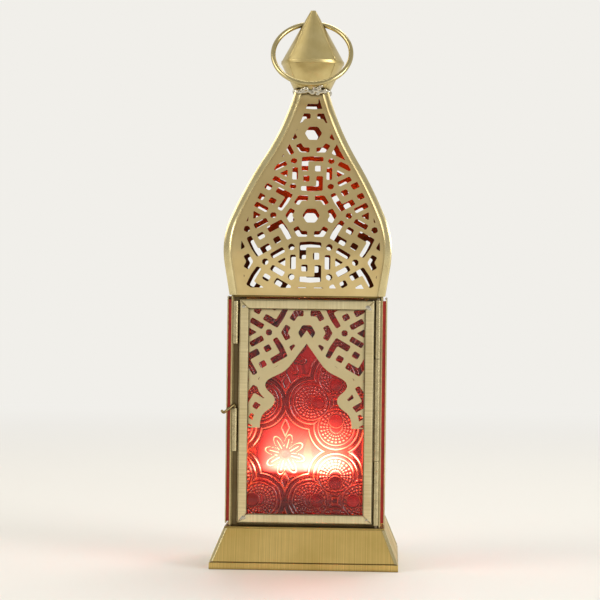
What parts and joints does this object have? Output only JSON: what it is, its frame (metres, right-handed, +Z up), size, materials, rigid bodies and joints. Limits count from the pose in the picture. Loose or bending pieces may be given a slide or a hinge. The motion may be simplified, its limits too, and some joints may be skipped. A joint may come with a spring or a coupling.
{
  "type": "candle lantern",
  "caption": "Square brass candle lantern with red pressed-glass panes, a hinged door with a wire catch, a pierced ogee roof and a pointed finial with a ring handle.",
  "frame": {"origin": "centre of the underside, on the surface that the lantern stands on", "axes": "+Z up through the finial, the door faces -Y, its hinge is on the +X side"},
  "size_m": [0.0944, 0.0944, 0.2845],
  "materials": {
    "base_brass": "golden sheet, fine upright brushed lines, satin",
    "inner_brass": "sheet, satin, slightly dull inside",
    "roof_brass": "pale gold sheet, satin, cut edges bright",
    "fret_brass": "pale gold sheet, flat and even, cut edges bright",
    "trim_brass": "folded strip, satin with bright edges and solder marks",
    "wire_brass": "drawn wire, smooth, lightly tarnished",
    "finial_brass": "folded sheet, polished",
    "pin_wire": "drawn wire, dull",
    "solder": "soft solder, bright and lumpy",
    "red_glass": "deep red pressed glass with a raised pattern",
    "tealight_tin": "thin foil cup, bright",
    "wax": "paraffin wax, stands under matte_plastic",
    "wick_metal": "tinned plate, dull",
    "wick_cord": "braided cotton, waxed, charred at the top"
  },
  "bodies": {
    "lantern": {"base_panel_front": "base_brass", "base_panel_right": "base_brass", "base_panel_back": "base_brass", "base_panel_left": "base_brass", "base_seam_front_right": "trim_brass", "base_seam_back_right": "trim_brass", "base_seam_back_left": "trim_brass", "base_seam_front_left": "trim_brass", "floor_plate": "inner_brass", "sill_frame": "trim_brass", "head_plate": "trim_brass", "post_front_right": "trim_brass", "post_back_right": "trim_brass", "post_back_left": "trim_brass", "post_front_left": "trim_brass", "frame_right": "trim_brass", "frame_back": "trim_brass", "frame_left": "trim_brass", "pane_right": "red_glass", "pane_back": "red_glass", "pane_left": "red_glass", "fret_right": "fret_brass", "fret_back": "fret_brass", "fret_left": "fret_brass", "post_knuckle_upper": "trim_brass", "post_knuckle_lower": "trim_brass", "hinge_pin": "pin_wire", "catch_tube_upper": "trim_brass", "catch_tube_lower": "trim_brass", "roof_panel_front": "roof_brass", "roof_panel_right": "roof_brass", "roof_panel_back": "roof_brass", "roof_panel_left": "roof_brass", "roof_seam_front_right": "trim_brass", "roof_seam_back_right": "trim_brass", "roof_seam_back_left": "trim_brass", "roof_seam_front_left": "trim_brass", "neck_solder": "solder", "finial_cup": "finial_brass", "finial_rim": "finial_brass", "finial_spire": "finial_brass", "candle_seat": "inner_brass", "candle_collar": "inner_brass"},
    "door": {"door_stile_hinge": "trim_brass", "door_stile_catch": "trim_brass", "door_rail_top": "trim_brass", "door_rail_bottom": "trim_brass", "door_pane": "red_glass", "door_fret": "fret_brass", "door_knuckle": "trim_brass"},
    "catch": {"catch_hook": "wire_brass"},
    "ring": {"ring_handle": "wire_brass"},
    "candle": {"tealight_cup": "tealight_tin", "tealight_wax": "wax", "wick_foot": "wick_metal", "wick": "wick_cord"}
  },
  "joints": [
    {"name": "door_hinge", "type": "hinge", "parent": "lantern", "child": "door", "pos_m": [0.0358, -0.0377, 0.08], "axis": [0, 0, 1], "range_deg": [0, 120]},
    {"name": "catch_turn", "type": "hinge", "parent": "lantern", "child": "catch", "pos_m": [-0.0358, -0.0377, 0.0725], "axis": [0, 0, 1], "range_deg": [0, 45]},
    {"name": "ring_swing", "type": "hinge", "parent": "lantern", "child": "ring", "pos_m": [0, 0, 0.27722], "axis": [-1, 0, 0], "range_deg": [-14, 304]},
    {"name": "tealight_lift", "type": "slide", "parent": "lantern", "child": "candle", "axis": [0, 0, 1], "range_m": [0, 0.025]}
  ]
}
